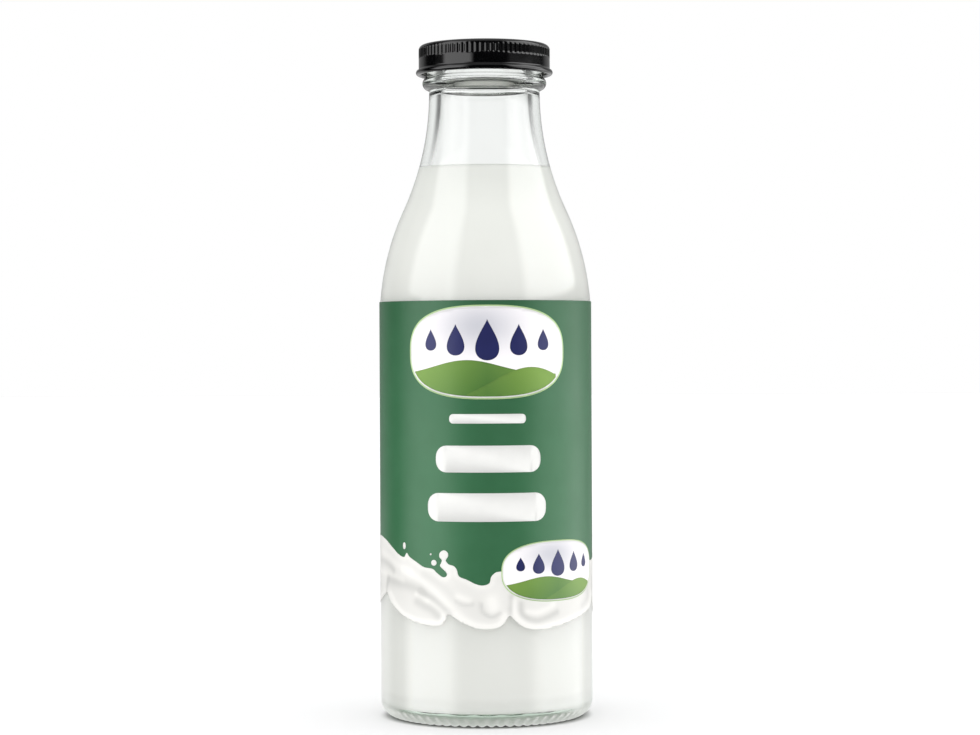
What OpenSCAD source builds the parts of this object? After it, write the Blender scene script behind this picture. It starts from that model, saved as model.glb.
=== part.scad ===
// Round glass milk bottle with a twist-off lug cap, full of milk to the foot of its neck.
// Millimetres. +Z is up, and the origin is the middle of the ring that the bottle stands on.

/* [Bottle] */
// Outer radius of the straight body
body_r = 39.3; // [38.5:0.1:40.5]
// Outer radius of the neck just under its bead
neck_r = 20.55; // [20:0.05:21]
// Height where the body begins to curve in
shoulder_z = 146; // [140:1:150]
// Share of the shoulder's curve that bulges out; the rest curves in
bulge_share = 0.484; // [0.4:0.002:0.6]
// Thickness of the body's wall
body_wall = 2.7; // [2.4:0.1:3]
// Thickness of the neck's wall
neck_wall = 4.25; // [3.8:0.05:4.4]
// Radius of the rounded heel
heel_r = 6; // [5:0.5:7]
// Inner radius of the flat ring that the bottle stands on
foot_in_r = 31.8; // [30:0.1:32]
// Rise of the hollow under the base
push_up = 2.6; // [2:0.1:3]
// Thickness of the floor above the standing ring
floor_t = 5; // [4:0.1:5]
// Extra height of the floor in the middle
floor_crown = 2; // [1:0.1:2.5]
// Radius of the corner between the floor and the wall, inside
floor_corner_r = 6; // [4:0.5:6]

/* [Finish of the neck] */
// Height of the middle of the bead round the neck
bead_z = 234.5; // [234:0.1:235]
// Radius of the bead's own section
bead_r = 2.5; // [2.2:0.1:2.6]
// Outer radius of the glass under the cap
finish_r = 21.4; // [21.2:0.1:21.6]
// Height of the lip that the cap seals on
lip_z = 248.3; // [248.3:0.1:249]
// Rounding of the lip's two edges
lip_round = 1.2; // [0.8:0.1:1.5]

/* [Milk] */
// Height of the milk's surface
milk_z = 202.4; // [190:0.1:215]

/* [Cap] */
// Thickness of the cap's sheet metal
sheet_t = 0.4; // [0.3:0.05:0.5]
// Outer radius of the cap's skirt
skirt_r = 24.4; // [24.2:0.1:24.8]
// Height of the cap, from its curled edge to its top
cap_h = 11.25; // [11:0.05:11.5]
// Radius of the section of the curled edge
curl_r = 1.05; // [0.9:0.05:1.1]
// Rounding of the cap's top edge
cap_round = 1.8; // [1.5:0.1:2]
// Radius of the sunk middle of the cap's top
panel_r = 15.5; // [14:0.5:15.5]
// Depth of the sunk middle
panel_drop = 0.6; // [0.4:0.1:0.8]
// Number of grip grooves round the cap
groove_count = 80; // [60:4:100]
// Depth of a grip groove
groove_deep = 0.28; // [0.1:0.02:0.3]
// Length of the grip grooves, down the skirt
groove_h = 3.5; // [3:0.1:4]
// Distance from the cap's top to the grooves
groove_drop = 1.5; // [1.4:0.1:1.8]
// Number of lugs folded in from the curl
lug_count = 4; // [3:1:6]
// Width of each lug
lug_w = 9; // [7:0.5:10]

/* [Label] */
// Thickness of the label's film
film_t = 0.3; // [0.2:0.05:0.3]
// Height of the label's straight top edge
label_top_z = 153.3; // [150:0.1:154]
// Height that the label's printed lobes hang from
lobe_root_z = 50; // [48:0.5:52]

/* [Hidden] */
arc_steps = 12;
eps = 1;

cavity_r = body_r - body_wall;
bore_r = neck_r - neck_wall;
neck_z = bead_z - bead_r;
cap_top_z = lip_z + sheet_t;
curl_z = cap_top_z - cap_h + curl_r;
lug_in_r = finish_r + 0.4;
lug_h = 1.3;
groove_pitch = 360 / groove_count;

// Notches in the label's lower edge, by angle from the front: [angle, hang of the lobe after it]
NOTCHES = [[-180, 12], [-147, 14], [-111, 10], [-75, 13.8], [-24, 14.2], [15, 14.8], [75, 11],
           [108, 13.5], [150, 11], [180, 0]];
// Degrees round the bottle between the film's stations
film_step = 3;
// How round a lobe is: below 1 its tip is blunt
lobe_round = 0.6;

// Points of an arc about (cr, cz), from angle a to angle b
function arc(cr, cz, radius, a, b, steps = arc_steps) =
    [for (i = [0:steps]) let (t = a + (b - a) * i / steps)
        [cr + radius * cos(t), cz + radius * sin(t)]];

// Two arcs, tangent to each other and upright at both ends, from (r0, z0) in and up to (r1, z1)
function ogee(r0, z0, r1, z1, share) =
    let (turn = 2 * atan((r0 - r1) / (z1 - z0)), total = (z1 - z0) / sin(turn),
         bulge = total * share, hollow = total - bulge)
    concat(arc(r0 - bulge, z0, bulge, 0, turn, 2 * arc_steps),
           arc(r1 + hollow, z1, hollow, 180 + turn, 180, 2 * arc_steps));

// A shallow dome's arc, from its crown on the axis down to (edge_r, edge_z)
function dome(edge_r, edge_z, rise) =
    let (radius = (edge_r * edge_r + rise * rise) / (2 * rise), half = asin(edge_r / radius))
    arc(0, edge_z + rise - radius, radius, 90, 90 - half);

bottle_outline = concat(
    dome(foot_in_r, 0, push_up),
    arc(body_r - heel_r, heel_r, heel_r, -90, 0),
    ogee(body_r, shoulder_z, neck_r, neck_z, bulge_share),
    arc(neck_r, bead_z, bead_r, -90, acos((finish_r - neck_r) / bead_r)),
    arc(finish_r - lip_round, lip_z - lip_round, lip_round, 0, 90, 6),
    arc(bore_r + lip_round, lip_z - lip_round, lip_round, 90, 180, 6),
    [[bore_r, neck_z], [0, neck_z]]);

cavity_outline = concat(
    dome(cavity_r - floor_corner_r, floor_t, floor_crown),
    arc(cavity_r - floor_corner_r, floor_t + floor_corner_r, floor_corner_r, -90, 0),
    ogee(cavity_r, shoulder_z, bore_r, neck_z, bulge_share),
    [[0, neck_z]]);

// Everything inside the glass, up to the straight bore of the neck
module cavity() {
    rotate_extrude($fn = 96) polygon(cavity_outline);
}

module bottle() {
    color([0.80, 0.86, 0.84, 0.35])
    difference() {
        rotate_extrude($fn = 96) polygon(bottle_outline);
        cavity();
    }
}

module milk() {
    color([0.96, 0.955, 0.93])
    intersection() {
        cavity();
        cylinder(h = milk_z, r = body_r, $fn = 96);
    }
}

// Section of the cap: a thin drawn shell with a sunk top and a curled lower edge
module cap_section() {
    inner_r = skirt_r - sheet_t;
    inner_round = cap_round - sheet_t;
    polygon(concat(
        [[0, cap_top_z - panel_drop], [panel_r - panel_drop, cap_top_z - panel_drop],
         [panel_r, cap_top_z]],
        [for (i = [0:6]) let (t = 90 - 15 * i)
            [skirt_r - cap_round + cap_round * cos(t), cap_top_z - cap_round + cap_round * sin(t)]],
        [[skirt_r, curl_z], [inner_r, curl_z]],
        [for (i = [0:6]) let (t = 15 * i)
            [skirt_r - cap_round + inner_round * cos(t), cap_top_z - cap_round + inner_round * sin(t)]],
        [[panel_r + sheet_t / 2, cap_top_z - sheet_t],
         [panel_r - panel_drop + sheet_t / 2, cap_top_z - panel_drop - sheet_t],
         [0, cap_top_z - panel_drop - sheet_t]]));
    translate([skirt_r, curl_z]) circle(r = curl_r, $fn = 32);
}

// Grip grooves: a ring outside a many-pointed outline, cut away from the skirt
module grooves() {
    translate([0, 0, cap_top_z - groove_drop - groove_h])
    linear_extrude(height = groove_h)
    difference() {
        circle(r = skirt_r + eps, $fn = 96);
        polygon([for (i = [0:groove_count - 1], side = [-0.3, 0, 0.3])
            let (a = (i + side) * groove_pitch, r = side == 0 ? skirt_r - groove_deep : skirt_r + 0.01)
            [r * cos(a), r * sin(a)]]);
    }
}

// A lug, folded in from the curl to catch under the neck's thread
module lug() {
    intersection() {
        translate([lug_in_r, -lug_w / 2, curl_z - lug_h / 2])
            cube([skirt_r - curl_r / 2 - lug_in_r, lug_w, lug_h]);
        cylinder(h = cap_top_z, r = skirt_r - curl_r / 2, $fn = 96);
    }
}

module cap() {
    color([0.05, 0.05, 0.055]) {
        difference() {
            rotate_extrude($fn = 96) cap_section();
            grooves();
        }
        for (i = [0:lug_count - 1]) rotate([0, 0, i * 360 / lug_count]) lug();
    }
}

// Height of the label's lower edge at an angle: an arch of film between each pair of notches
function hem_z(a) =
    let (k = max([for (i = [0:len(NOTCHES) - 2]) a >= NOTCHES[i][0] ? i : 0]),
         from = NOTCHES[k][0], to = NOTCHES[k + 1][0])
    lobe_root_z - NOTCHES[k][1] * pow(max(0, sin(180 * (a - from) / (to - from))), lobe_round);

// Corner n of the film's section at station i: lower outside, upper outside, upper inside, lower inside
function film_corner(i, n) =
    let (a = -180 + i * film_step, r = (n < 2 ? body_r + film_t : body_r) / cos(film_step / 2),
         z = n == 1 || n == 2 ? label_top_z : hem_z(a))
    [r * sin(a), -r * cos(a), z];

// The film wraps the body, and its lower edge hangs in round lobes
module label() {
    stations = 360 / film_step;
    at = function (i, n) 4 * (i % stations) + n;
    color([0.22, 0.45, 0.31])
    polyhedron(
        points = [for (i = [0:stations - 1], n = [0:3]) film_corner(i, n)],
        faces = [for (i = [0:stations - 1]) each [
            [at(i, 0), at(i, 1), at(i + 1, 1), at(i + 1, 0)],
            [at(i, 1), at(i, 2), at(i + 1, 2), at(i + 1, 1)],
            [at(i, 2), at(i, 3), at(i + 1, 3), at(i + 1, 2)],
            [at(i, 3), at(i, 0), at(i + 1, 0)],
            [at(i, 3), at(i + 1, 0), at(i + 1, 3)]]]);
}

bottle();
milk();
cap();
label();
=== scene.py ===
# %% [markdown]
# # A glass bottle of milk
# This lesson dresses a full, capped milk bottle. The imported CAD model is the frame: it fixes every
# size and place. What Blender adds is the finish that a solid can't show: clear glass that bends
# light, milk that meets it with no gap, black lacquer with pressed grips, and a printed film.

# %% Load the frame
import math
import bpy
import bmesh
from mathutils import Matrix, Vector, kdtree, noise


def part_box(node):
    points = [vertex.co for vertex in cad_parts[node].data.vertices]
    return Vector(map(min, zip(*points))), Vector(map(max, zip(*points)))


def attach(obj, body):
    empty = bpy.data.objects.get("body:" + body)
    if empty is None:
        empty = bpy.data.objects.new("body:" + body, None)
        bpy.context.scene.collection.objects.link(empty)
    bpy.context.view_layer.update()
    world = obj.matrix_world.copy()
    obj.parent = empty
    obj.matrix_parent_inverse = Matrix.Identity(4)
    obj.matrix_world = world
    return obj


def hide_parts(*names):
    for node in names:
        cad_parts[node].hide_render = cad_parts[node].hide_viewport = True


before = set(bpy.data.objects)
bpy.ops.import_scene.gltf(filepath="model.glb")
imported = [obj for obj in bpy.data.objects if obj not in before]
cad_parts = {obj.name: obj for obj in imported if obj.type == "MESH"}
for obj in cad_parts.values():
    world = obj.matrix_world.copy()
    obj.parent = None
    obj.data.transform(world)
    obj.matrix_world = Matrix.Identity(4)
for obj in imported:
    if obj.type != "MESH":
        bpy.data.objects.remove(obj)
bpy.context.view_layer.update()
MM = 0.001

# %% [markdown]
# ## Sizes
# The frame gives the outer sizes: how wide the glass is, where the lip, the milk and the label end.
# The few that a box can't give, such as the radius of the neck, are the maker's own drawing sizes.

# %% Sizes from the frame and from the bottle's drawing
BODY_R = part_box("bottle")[1][0]
LIP_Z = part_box("bottle")[1][2]
CAVITY_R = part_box("milk")[1][0]
FLOOR_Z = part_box("milk")[0][2]
MILK_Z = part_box("milk")[1][2]
CAP_LOW, CAP_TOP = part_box("cap")[0][2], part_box("cap")[1][2]
LABEL_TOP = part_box("label")[1][2]

NECK_R = 20.55 * MM
NECK_WALL = 4.25 * MM
SHOULDER_Z = 146.0 * MM
BULGE_SHARE = 0.484
HEEL_R = 6.0 * MM
FOOT_IN_R = 31.8 * MM
PUSH_UP = 2.6 * MM
FLOOR_CROWN = 2.0 * MM
FLOOR_CORNER_R = 6.0 * MM
BEAD_Z = 234.5 * MM
BEAD_R = 2.5 * MM
FINISH_R = 21.4 * MM
LIP_ROUND = 1.2 * MM
NECK_Z = BEAD_Z - BEAD_R
BORE_R = NECK_R - NECK_WALL
print("glass radius", round(BODY_R, 4), "lip", round(LIP_Z, 4), "milk up to", round(MILK_Z, 4))

# %% [markdown]
# ## The camera
# A long lens a little under a metre away, level, just above the bottle's middle: the sides stay
# almost parallel and the rings show as thin ellipses. It leans by a quarter of a degree, as a camera
# held by hand does. It comes first, so that every later step can be looked at from the right place.

# %% Camera
EYE = Vector((1.7 * MM, -953.0 * MM, 136.9 * MM))
LENS = 94.05
SHIFT_UP = -0.022
LEAN = 0.245
camera_data = bpy.data.cameras.new("camera")
camera_data.sensor_width = 36.0
camera_data.lens = LENS
camera_data.shift_y = SHIFT_UP
camera = bpy.data.objects.new("camera", camera_data)
camera.location = EYE
camera.rotation_euler = (math.radians(90), math.radians(LEAN), 0)
bpy.context.scene.collection.objects.link(camera)
bpy.context.scene.camera = camera
print("camera", round(EYE.length, 3), "m from the base,", LENS, "mm lens")

# %% [markdown]
# ## Outlines
# Glass is blown in a turned mould, so its outline is straight lines and arcs. `arc` lists the points
# of one arc, `ogee` joins two arcs that are tangent where they meet, and `dome` is the shallow arch
# of a floor. All outlines are lists of (radius, height), in metres.

# %% Outline helpers
def arc(centre_r, centre_z, radius, start, end, steps):
    turns = [math.radians(start + (end - start) * i / steps) for i in range(steps + 1)]
    return [(centre_r + radius * math.cos(t), centre_z + radius * math.sin(t)) for t in turns]


def ogee(r0, z0, r1, z1, share, steps):
    turn = 2 * math.degrees(math.atan2(r0 - r1, z1 - z0))
    total = (z1 - z0) / math.sin(math.radians(turn))
    bulge, hollow = total * share, total * (1 - share)
    lower = arc(r0 - bulge, z0, bulge, 0, turn, steps)
    upper = arc(r1 + hollow, z1, hollow, 180 + turn, 180, steps)
    return lower + upper[1:]


def dome(edge_r, edge_z, rise, steps):
    radius = (edge_r ** 2 + rise ** 2) / (2 * rise)
    half = math.degrees(math.asin(edge_r / radius))
    points = arc(0, edge_z + rise - radius, radius, 90, 90 - half, steps)
    return [(0.0, edge_z + rise)] + points[1:]


print("an arc of 4 steps has", len(arc(0, 0, 1, 0, 90, 4)), "points")

# %% [markdown]
# ## Node trees that build shapes
# Every main piece here follows one rule: an outline turned about the bottle's axis. Blender's Spin
# and Screw can turn an outline too, but a Geometry Nodes tree keeps the rule in one place with named
# sizes, and lets a second rule, such as grip grooves, act on the same surface before it is frozen.

# %% Helpers for node trees
def shape_tree(name, inputs):
    """A Geometry Nodes tree with a Mesh input and output, and the named inputs."""
    tree = bpy.data.node_groups.new(name, "GeometryNodeTree")
    tree.interface.new_socket("Mesh", in_out="INPUT", socket_type="NodeSocketGeometry")
    for label, kind, value in inputs:
        socket = tree.interface.new_socket(label, in_out="INPUT", socket_type="NodeSocket" + kind)
        if value is not None:
            socket.default_value = value
    tree.interface.new_socket("Mesh", in_out="OUTPUT", socket_type="NodeSocketGeometry")
    return tree, tree.nodes.new("NodeGroupInput"), tree.nodes.new("NodeGroupOutput")


def node(tree, kind, links=(), **settings):
    """Adds a node, sets its properties, and feeds its inputs by number from values or sockets."""
    made = tree.nodes.new(kind)
    for key, value in settings.items():
        setattr(made, key, value)
    for index, source in links:
        if isinstance(source, bpy.types.NodeSocket):
            tree.links.new(source, made.inputs[index])
        else:
            made.inputs[index].default_value = source
    return made


def maths(tree, operation, a, b=0.0):
    return node(tree, "ShaderNodeMath", [(0, a), (1, b)], operation=operation).outputs[0]


print("node helpers ready")

# %% Freeze a tree into a piece
def grow(piece, tree, **values):
    """Runs a tree on a piece and freezes the result into the piece's own mesh."""
    modifier = piece.modifiers.new(tree.name, "NODES")
    modifier.node_group = tree
    sockets = {item.name: item for item in tree.interface.items_tree if item.in_out == "INPUT"}
    for label, value in values.items():
        modifier[sockets[label.replace("_", " ")].identifier] = value
    bpy.context.view_layer.update()
    evaluated = piece.evaluated_get(bpy.context.evaluated_depsgraph_get())
    frozen = bpy.data.meshes.new_from_object(evaluated)
    piece.modifiers.remove(modifier)
    piece.data = frozen
    piece.data.name = piece.name
    painted = [material for material in frozen.materials if material]
    frozen.materials.clear()
    frozen.materials.append(painted[-1])
    frozen.polygons.foreach_set("material_index", [0] * len(frozen.polygons))
    return piece


def new_piece(name, points, edges=(), faces=()):
    mesh = bpy.data.meshes.new(name)
    mesh.from_pydata(points, edges, faces)
    piece = bpy.data.objects.new(name, mesh)
    bpy.context.scene.collection.objects.link(piece)
    return piece


print("pieces can be grown and frozen")

# %% How every tree ends
WELD = 0.001 * MM


def weld(tree, geometry):
    """Merges the points that lie on each other, which closes seams and poles."""
    closed = node(tree, "GeometryNodeMergeByDistance", [(0, geometry)])
    closed.inputs["Distance"].default_value = WELD
    return closed.outputs[0]


def ends(tree, geometry, group_in, group_out, crisp=None):
    """Real geometry, smooth faces but for the crisp ones, and the material."""
    shaded = node(tree, "GeometryNodeRealizeInstances", [(0, geometry)]).outputs[0]
    shaded = node(tree, "GeometryNodeSetShadeSmooth", [(0, shaded)]).outputs[0]
    if crisp:
        flats = node(tree, "GeometryNodeSetShadeSmooth", [(0, shaded), (1, crisp), (2, False)])
        shaded = flats.outputs[0]
    painted = node(tree, "GeometryNodeSetMaterial", [(0, shaded), (2, group_in.outputs["Material"])])
    tree.links.new(painted.outputs[0], group_out.inputs[0])


print("points weld within", WELD, "m")

# %% [markdown]
# ## Turning an outline
# The tree lays a flat grid with one row for each point of the outline and one column for each step
# round the axis. Each grid point looks its radius and height up from the outline, and the column
# gives its angle. Merging by distance closes the seam and the two poles.

# %% The turning tree
def build_turning_tree():
    tree, group_in, group_out = shape_tree("turned_outline", [
        ("Steps Round", "Int", 64), ("Outline Points", "Int", 2), ("Material", "Material", None)])
    steps, count = group_in.outputs["Steps Round"], group_in.outputs["Outline Points"]
    columns = node(tree, "FunctionNodeIntegerMath", [(0, steps), (1, 1)], operation="ADD").outputs[0]
    grid = node(tree, "GeometryNodeMeshGrid", [(0, 1.0), (1, 1.0), (2, columns), (3, count)])
    index = node(tree, "GeometryNodeInputIndex").outputs[0]
    column = node(tree, "FunctionNodeIntegerMath", [(0, index), (1, count)],
                  operation="DIVIDE_FLOOR").outputs[0]
    row = node(tree, "FunctionNodeIntegerMath", [(0, index), (1, count)], operation="MODULO").outputs[0]
    place = node(tree, "GeometryNodeInputPosition").outputs[0]
    look_up = node(tree, "GeometryNodeSampleIndex", data_type="FLOAT_VECTOR", domain="POINT")
    tree.links.new(group_in.outputs["Mesh"], look_up.inputs["Geometry"])
    tree.links.new(place, look_up.inputs["Value"])
    tree.links.new(row, look_up.inputs["Index"])
    outline = node(tree, "ShaderNodeSeparateXYZ", [(0, look_up.outputs[0])]).outputs
    angle = maths(tree, "MULTIPLY", maths(tree, "DIVIDE", column, steps), 2 * math.pi)
    x = maths(tree, "MULTIPLY", outline[0], maths(tree, "COSINE", angle))
    y = maths(tree, "MULTIPLY", outline[0], maths(tree, "SINE", angle))
    turned = node(tree, "ShaderNodeCombineXYZ", [(0, x), (1, y), (2, outline[2])]).outputs[0]
    moved = node(tree, "GeometryNodeSetPosition", [(0, grid.outputs[0]), (2, turned)]).outputs[0]
    ends(tree, weld(tree, moved), group_in, group_out)
    return tree


TURNING = build_turning_tree()


def turned(name, outline, steps, material):
    """A closed piece turned from an outline that starts and ends on the axis, or closes on itself."""
    points = [(r, 0.0, z) for r, z in outline]
    piece = new_piece(name, points, [(i, i + 1) for i in range(len(points) - 1)])
    grow(piece, TURNING, Steps_Round=steps, Outline_Points=len(points), Material=material)
    print(name, len(outline), "outline points,", len(piece.data.polygons), "faces")
    return piece


print("turning tree has", len(TURNING.nodes), "nodes")

# %% [markdown]
# ## Shared shader effects
# Real surfaces are never one number. `mottle` is one noise pattern with a low and a high end, used
# for the faint clouding of milk, the uneven gloss of lacquer and the grain of printed film. It puts
# out only a value, so each material can decide what the value drives.

# %% The mottle group
def build_mottle_group():
    group = bpy.data.node_groups.new("mottle", "ShaderNodeTree")
    for label, value in (("Scale", 40.0), ("Detail", 3.0), ("Low", 0.0), ("High", 1.0)):
        socket = group.interface.new_socket(label, in_out="INPUT", socket_type="NodeSocketFloat")
        socket.default_value = value
    group.interface.new_socket("Value", in_out="OUTPUT", socket_type="NodeSocketFloat")
    group_in, group_out = group.nodes.new("NodeGroupInput"), group.nodes.new("NodeGroupOutput")
    place = group.nodes.new("ShaderNodeTexCoord")
    cloud = group.nodes.new("ShaderNodeTexNoise")
    spread = group.nodes.new("ShaderNodeMapRange")
    spread.inputs["From Min"].default_value = 0.3
    spread.inputs["From Max"].default_value = 0.7
    group.links.new(place.outputs["Object"], cloud.inputs["Vector"])
    group.links.new(group_in.outputs["Scale"], cloud.inputs["Scale"])
    group.links.new(group_in.outputs["Detail"], cloud.inputs["Detail"])
    group.links.new(cloud.outputs["Fac"], spread.inputs["Value"])
    group.links.new(group_in.outputs["Low"], spread.inputs["To Min"])
    group.links.new(group_in.outputs["High"], spread.inputs["To Max"])
    group.links.new(spread.outputs["Result"], group_out.inputs["Value"])
    return group


MOTTLE = build_mottle_group()
print("mottle group has", len(MOTTLE.nodes), "nodes")

# %% Helpers for materials
def start_material(name):
    """A material with its Principled BSDF, which is all that most finishes here need."""
    material = bpy.data.materials.new(name)
    material.use_nodes = True
    return material, material.node_tree, material.node_tree.nodes["Principled BSDF"]


def mottle(tree, scale, low=0.0, high=1.0, detail=3.0):
    placed = tree.nodes.new("ShaderNodeGroup")
    placed.node_tree = MOTTLE
    for label, value in (("Scale", scale), ("Detail", detail), ("Low", low), ("High", high)):
        placed.inputs[label].default_value = value
    return placed.outputs["Value"]


def blend_colours(tree, factor, first, second):
    mix = tree.nodes.new("ShaderNodeMix")
    mix.data_type = "RGBA"
    tree.links.new(factor, mix.inputs["Factor"])
    mix.inputs["A"].default_value = (*first, 1.0)
    mix.inputs["B"].default_value = (*second, 1.0)
    return mix.outputs["Result"]


def roughen(tree, shader, height, strength, distance, over=None):
    """Waves the normal a little; over is the normal that it starts from, if not the mesh's own."""
    bump = tree.nodes.new("ShaderNodeBump")
    if over:
        tree.links.new(over, bump.inputs["Normal"])
    bump.inputs["Strength"].default_value = strength
    bump.inputs["Distance"].default_value = distance
    tree.links.new(height, bump.inputs["Height"])
    tree.links.new(bump.outputs["Normal"], shader.inputs["Normal"])


print("material helpers ready")

# %% [markdown]
# ## Clear glass
# Bottle glass is clear soda-lime glass: a plain transmission of 1 and an index of 1.52 bend what is
# behind it. Its green cast only shows where it is thick, as in the base, so the tint is a volume
# that absorbs a little on the way through, not a painted colour. A trace of waviness in the normal
# stands for the mould's skin. For shadow rays the glass is simply open, so that the soft light
# reaches the milk and the floor without a shower of bright specks.

# %% Glass material
def glass_material():
    material, tree, shader = start_material("bottle_glass")
    shader.inputs["Base Color"].default_value = (1.0, 1.0, 1.0, 1.0)
    shader.inputs["Roughness"].default_value = 0.0
    shader.inputs["IOR"].default_value = 1.52
    shader.inputs["Transmission Weight"].default_value = 1.0
    skin = mottle(tree, scale=55.0, detail=1.0)
    roughen(tree, shader, skin, strength=0.05, distance=0.2 * MM)
    tint = tree.nodes.new("ShaderNodeVolumeAbsorption")
    tint.inputs["Color"].default_value = (0.66, 0.76, 0.68, 1.0)
    tint.inputs["Density"].default_value = 24.0
    open_way = tree.nodes.new("ShaderNodeBsdfTransparent")
    open_way.inputs["Color"].default_value = (0.93, 0.935, 0.93, 1.0)
    choice = tree.nodes.new("ShaderNodeMixShader")
    output = tree.nodes["Material Output"]
    tree.links.new(tree.nodes.new("ShaderNodeLightPath").outputs["Is Shadow Ray"], choice.inputs[0])
    tree.links.new(shader.outputs[0], choice.inputs[1])
    tree.links.new(open_way.outputs[0], choice.inputs[2])
    tree.links.new(choice.outputs[0], output.inputs["Surface"])
    tree.links.new(tint.outputs[0], output.inputs["Volume"])
    return material


GLASS = glass_material()
print("glass bends light by", GLASS.node_tree.nodes["Principled BSDF"].inputs["IOR"].default_value)

# %% [markdown]
# ## The bottle
# The bottle is one outline from the hollow under its base, round the heel, up the shoulder and over
# the lip, and back down inside to the floor. Turned, it is a single closed wall of real thickness,
# which is what lets the glass bend light as the thing does. Real bottles carry short ribs pressed
# round the standing ring, so that the ring isn't scratched on the line; a second tree sinks the
# grooves between them into the same surface.

# %% The outline of the bottle
def bottle_outline():
    bead_top = math.degrees(math.acos((FINISH_R - NECK_R) / BEAD_R))
    outside = dome(FOOT_IN_R, 0, PUSH_UP, 10)
    outside += arc(BODY_R - HEEL_R, HEEL_R, HEEL_R, -90, 0, 24)
    outside += ogee(BODY_R, SHOULDER_Z, NECK_R, NECK_Z - 0.5 * MM, BULGE_SHARE, 22)
    outside += arc(NECK_R, BEAD_Z, BEAD_R, -78, bead_top, 16)
    outside += arc(FINISH_R - LIP_ROUND, LIP_Z - LIP_ROUND, LIP_ROUND, 0, 90, 5)
    inside = dome(CAVITY_R - FLOOR_CORNER_R, FLOOR_Z, FLOOR_CROWN, 8)
    inside += arc(CAVITY_R - FLOOR_CORNER_R, FLOOR_Z + FLOOR_CORNER_R, FLOOR_CORNER_R, -90, 0, 10)[1:]
    inside += ogee(CAVITY_R, SHOULDER_Z, BORE_R, NECK_Z, BULGE_SHARE, 22)
    inside += arc(BORE_R + LIP_ROUND, LIP_Z - LIP_ROUND, LIP_ROUND, 180, 90, 5)
    return outside + inside[::-1]


print("the bottle's outline has", len(bottle_outline()), "points")

# %% Grooves round the axis, shared by the heel and the cap
def round_grooves(tree, count, narrowness):
    """Each point's place and distance from the axis, and how deep in a groove it is, from 0 to 1."""
    place = node(tree, "GeometryNodeInputPosition").outputs[0]
    x, y, z = node(tree, "ShaderNodeSeparateXYZ", [(0, place)]).outputs
    squares = maths(tree, "ADD", maths(tree, "MULTIPLY", x, x), maths(tree, "MULTIPLY", y, y))
    radius = maths(tree, "SQRT", squares)
    turn = maths(tree, "ARCTAN2", y, x)
    wave = maths(tree, "COSINE", maths(tree, "MULTIPLY", turn, count))
    halved = maths(tree, "ADD", maths(tree, "MULTIPLY", wave, 0.5), 0.5)
    return x, y, z, radius, maths(tree, "POWER", halved, narrowness)


def smooth_ramp(tree, value, start, stop, first=0.0, last=1.0):
    """Goes smoothly from first, where value is start, to last, where it is stop."""
    return node(tree, "ShaderNodeMapRange", [(0, value), (1, start), (2, stop), (3, first), (4, last)],
                interpolation_type="SMOOTHSTEP").outputs[0]


print("groove helpers ready")

# %% The tree that presses the heel's grooves
HEEL_NARROWNESS = 1.5


def build_heel_tree():
    tree, group_in, group_out = shape_tree("heel_grooves", [
        ("Ribs", "Float", 64.0), ("Depth", "Float", 0.6 * MM), ("Fade From", "Float", 1.4 * MM),
        ("Fade To", "Float", 4.2 * MM), ("Ring Inside", "Float", 31.0 * MM),
        ("Ring Fade", "Float", 0.8 * MM), ("Material", "Material", None)])
    x, y, z, radius, groove = round_grooves(tree, group_in.outputs["Ribs"], HEEL_NARROWNESS)
    low = smooth_ramp(tree, z, group_in.outputs["Fade From"], group_in.outputs["Fade To"], 1.0, 0.0)
    ring_start = group_in.outputs["Ring Inside"]
    ring_end = maths(tree, "ADD", ring_start, group_in.outputs["Ring Fade"])
    ring = smooth_ramp(tree, radius, ring_start, ring_end)
    mask = maths(tree, "MULTIPLY", maths(tree, "MULTIPLY", low, ring), groove)
    sink = maths(tree, "MULTIPLY", maths(tree, "MULTIPLY", mask, group_in.outputs["Depth"]), -1.0)
    facing = node(tree, "GeometryNodeInputNormal").outputs[0]
    offset = node(tree, "ShaderNodeVectorMath", [(0, facing)], operation="SCALE")
    tree.links.new(sink, offset.inputs["Scale"])
    mesh = group_in.outputs["Mesh"]
    pressed = node(tree, "GeometryNodeSetPosition", [(0, mesh), (3, offset.outputs[0])])
    ends(tree, pressed.outputs[0], group_in, group_out)
    return tree


HEEL_GROOVES = build_heel_tree()
print("heel tree has", len(HEEL_GROOVES.nodes), "nodes")

# %% Turn the bottle and press its heel
RIB_COUNT = 64
STEPS_A_GROOVE = 8
bottle = turned("bottle_glass", bottle_outline(), RIB_COUNT * STEPS_A_GROOVE, GLASS)
grow(bottle, HEEL_GROOVES, Ribs=float(RIB_COUNT), Material=GLASS)
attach(bottle, "root")
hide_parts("bottle")
print("bottle:", len(bottle.data.polygons), "faces")

# %% [markdown]
# ## Milk
# Milk meets the glass all over, so its surface reaches just into the wall: if it stopped at the wall
# or short of it, a film of air would show as a silver skin. At the top it wets the glass and climbs
# it a little. The colour is a warm white, and the mottle clouds it very faintly.

# %% Milk material
def milk_material():
    material, tree, shader = start_material("milk")
    cloud = mottle(tree, scale=30.0, detail=2.0)
    colour = blend_colours(tree, cloud, (0.892, 0.884, 0.860), (0.915, 0.906, 0.884))
    tree.links.new(colour, shader.inputs["Base Color"])
    shader.inputs["Roughness"].default_value = 0.35
    shader.inputs["IOR"].default_value = 1.35
    shader.inputs["Specular IOR Level"].default_value = 0.3
    return material


MILK = milk_material()
print("milk material ready")

# %% The milk's outline and piece
BITE = 0.15 * MM
CLIMB = 0.4 * MM
CLIMB_WIDTH = 2.2 * MM
CLIMB_LEAN = 0.25
CLIMB_STEPS = 8


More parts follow.
